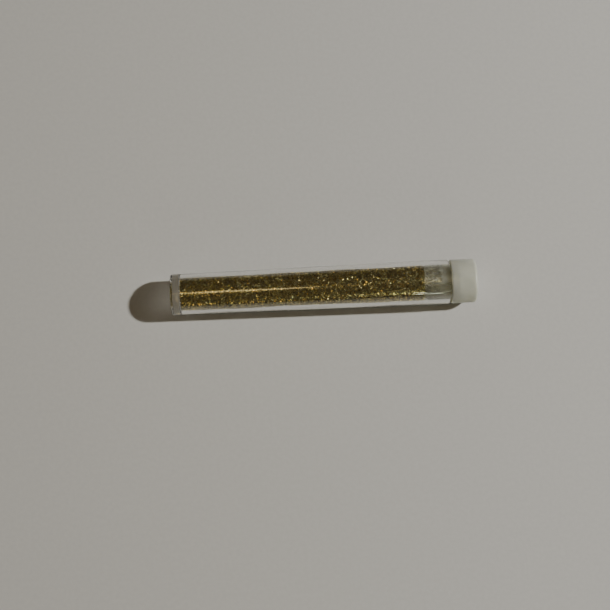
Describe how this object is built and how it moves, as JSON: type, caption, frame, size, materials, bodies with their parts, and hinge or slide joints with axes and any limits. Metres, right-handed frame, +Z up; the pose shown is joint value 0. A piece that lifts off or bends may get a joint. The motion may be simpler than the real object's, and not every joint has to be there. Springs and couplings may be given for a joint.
{
  "type": "sample vial",
  "caption": "Clear flat-bottomed sample vial lying on its side, with a push-in stopper, filled with fine gold-coloured flakes.",
  "frame": {"origin": "on the surface that the vial lies on, under the middle of its length", "axes": "+X along the vial from the tube's base to the stopper, +Z up; the vial's own axis leans up 0.43 degrees toward the stopper, because the drafted barrel rests along its side"},
  "size_m": [0.0824, 0.012, 0.0121],
  "materials": {
    "clear_tube": "clear moulded polystyrene, glossy, with fine handling scratches",
    "natural_stopper": "natural low-density polyethylene, milky and translucent, satin",
    "gold_flakes": "gold-coloured metallised film cut into fine flakes, bright faces among dark gaps"
  },
  "bodies": {
    "vial": {"vial_tube": "clear_tube", "flake_bed": "gold_flakes", "wall_flakes": "gold_flakes"},
    "stopper_fill": {"stopper_flakes": "gold_flakes"},
    "stopper": {"stopper": "natural_stopper"}
  },
  "joints": [
    {"name": "stopper_pull", "type": "slide", "parent": "vial", "child": "stopper_fill", "axis": [1, 0, 0.0075], "range_m": [0, 0.014]},
    {"name": "stopper_twist", "type": "hinge", "parent": "stopper_fill", "child": "stopper", "pos_m": [0.03685, 0, 0.00608], "axis": [1, 0, 0.0075], "continuous": true}
  ]
}
